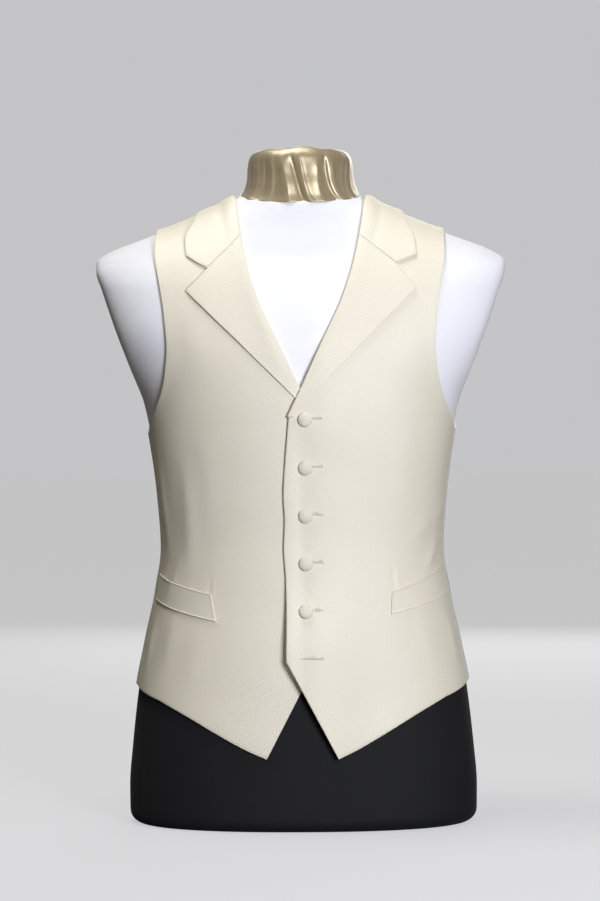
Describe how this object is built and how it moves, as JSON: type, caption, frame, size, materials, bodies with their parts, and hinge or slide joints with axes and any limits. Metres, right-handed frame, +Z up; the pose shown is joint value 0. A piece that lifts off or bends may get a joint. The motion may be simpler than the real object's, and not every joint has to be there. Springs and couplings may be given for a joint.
{
  "type": "waistcoat on limbless dress form",
  "caption": "Notch-lapel waistcoat with pointed fronts, welt pockets and a satin back, buttoned on a limbless torso form that stands on its flat base.",
  "frame": {"origin": "centre of the form's flat underside, on the surface that it stands on", "axes": "+Z up, -Y to the front where the buttons are, +X towards the wearer's left"},
  "size_m": [0.4464, 0.2638, 0.735],
  "materials": {
    "waistcoat_cloth": "ivory silk-like cloth with a small diamond weave and a soft sheen",
    "back_satin": "smooth ivory satin",
    "form_white_jersey": "plain matt white jersey cover",
    "form_gold_satin": "gathered bronze-gold satin cover",
    "form_black_cloth": "matt black cloth cover"
  },
  "bodies": {
    "root": {"form_base": "form_black_cloth", "form_torso": "form_white_jersey", "form_neck": "form_gold_satin", "front_left": "waistcoat_cloth", "front_right": "waistcoat_cloth", "back_left": "back_satin", "back_right": "back_satin", "lapel_left": "waistcoat_cloth", "lapel_right": "waistcoat_cloth", "collar_left": "waistcoat_cloth", "collar_right": "waistcoat_cloth", "welt_left": "waistcoat_cloth", "welt_right": "waistcoat_cloth", "button_1": "waistcoat_cloth", "button_2": "waistcoat_cloth", "button_3": "waistcoat_cloth", "button_4": "waistcoat_cloth", "button_5": "waistcoat_cloth", "button_6": "waistcoat_cloth"}
  },
  "joints": []
}
